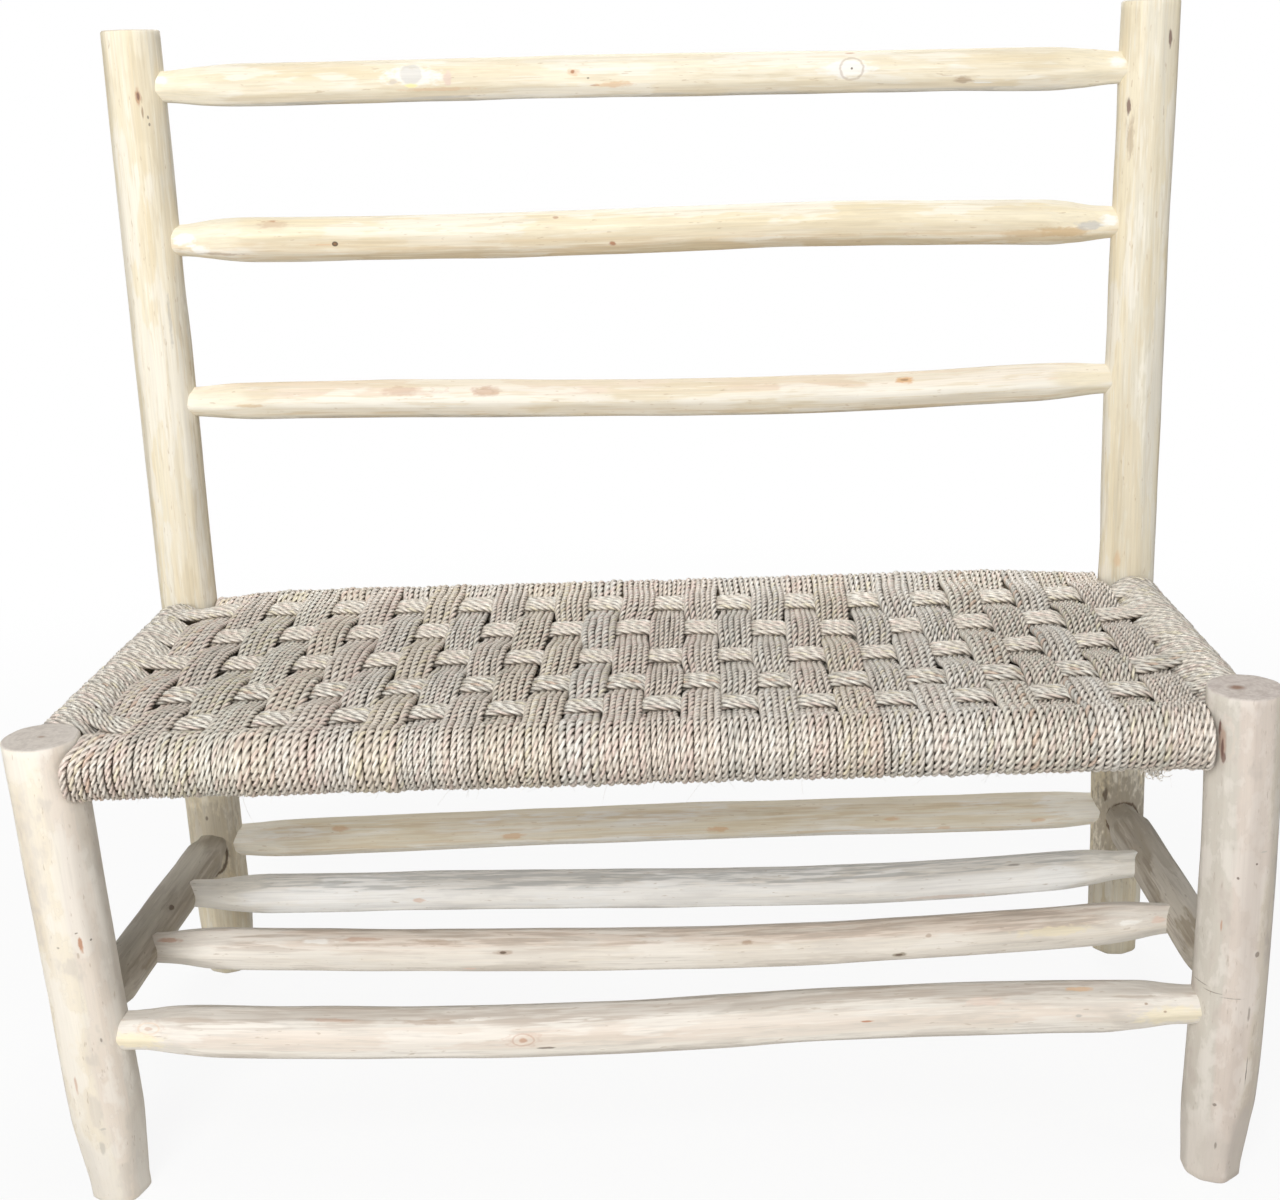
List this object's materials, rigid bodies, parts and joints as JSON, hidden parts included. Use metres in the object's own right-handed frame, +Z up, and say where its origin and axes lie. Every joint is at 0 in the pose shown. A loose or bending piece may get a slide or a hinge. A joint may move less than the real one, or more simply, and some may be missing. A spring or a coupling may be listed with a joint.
{
  "type": "woven bench",
  "caption": "Rustic pole bench with a ladder back, a checker-woven rope seat and a slatted low shelf, joined by round whittled tenons.",
  "frame": {"origin": "on the floor, under the middle of the bench's box", "axes": "+X to the right as seen by someone facing the bench, +Y towards its back, +Z up"},
  "size_m": [1.1034, 0.503, 1.048],
  "materials": {
    "wood_cream": "peeled and scraped, matte",
    "wood_grey": "peeled and weathered, matte",
    "rope_warp": "twisted plant-fibre rope, matte",
    "rope_weft": "twisted plant-fibre rope, matte"
  },
  "bodies": {
    "root": {"front_left_post": "wood_grey", "front_right_post": "wood_grey", "back_left_post": "wood_cream", "back_right_post": "wood_cream", "top_back_rail": "wood_cream", "middle_back_rail": "wood_cream", "lower_back_rail": "wood_cream", "front_seat_rail": "wood_cream", "back_seat_rail": "wood_cream", "left_seat_rail": "wood_cream", "right_seat_rail": "wood_cream", "front_stretcher": "wood_grey", "back_stretcher": "wood_grey", "left_stretcher": "wood_grey", "right_stretcher": "wood_grey", "front_shelf_rung": "wood_grey", "back_shelf_rung": "wood_grey", "warp_band_01": "rope_warp", "warp_band_02": "rope_warp", "warp_band_03": "rope_warp", "warp_band_04": "rope_warp", "warp_band_05": "rope_warp", "warp_band_06": "rope_warp", "warp_band_07": "rope_warp", "warp_band_08": "rope_warp", "warp_band_09": "rope_warp", "warp_band_10": "rope_warp", "warp_band_11": "rope_warp", "warp_band_12": "rope_warp", "warp_band_13": "rope_warp", "warp_band_14": "rope_warp", "warp_band_15": "rope_warp", "warp_band_16": "rope_warp", "warp_band_17": "rope_warp", "warp_band_18": "rope_warp", "warp_band_19": "rope_warp", "warp_band_20": "rope_warp", "warp_band_21": "rope_warp", "warp_band_22": "rope_warp", "warp_band_23": "rope_warp", "warp_band_24": "rope_warp", "warp_band_25": "rope_warp", "warp_band_26": "rope_warp", "warp_band_27": "rope_warp", "warp_band_28": "rope_warp", "weft_row_1": "rope_weft", "weft_row_2": "rope_weft", "weft_row_3": "rope_weft", "weft_row_4": "rope_weft", "weft_row_5": "rope_weft"}
  },
  "joints": []
}
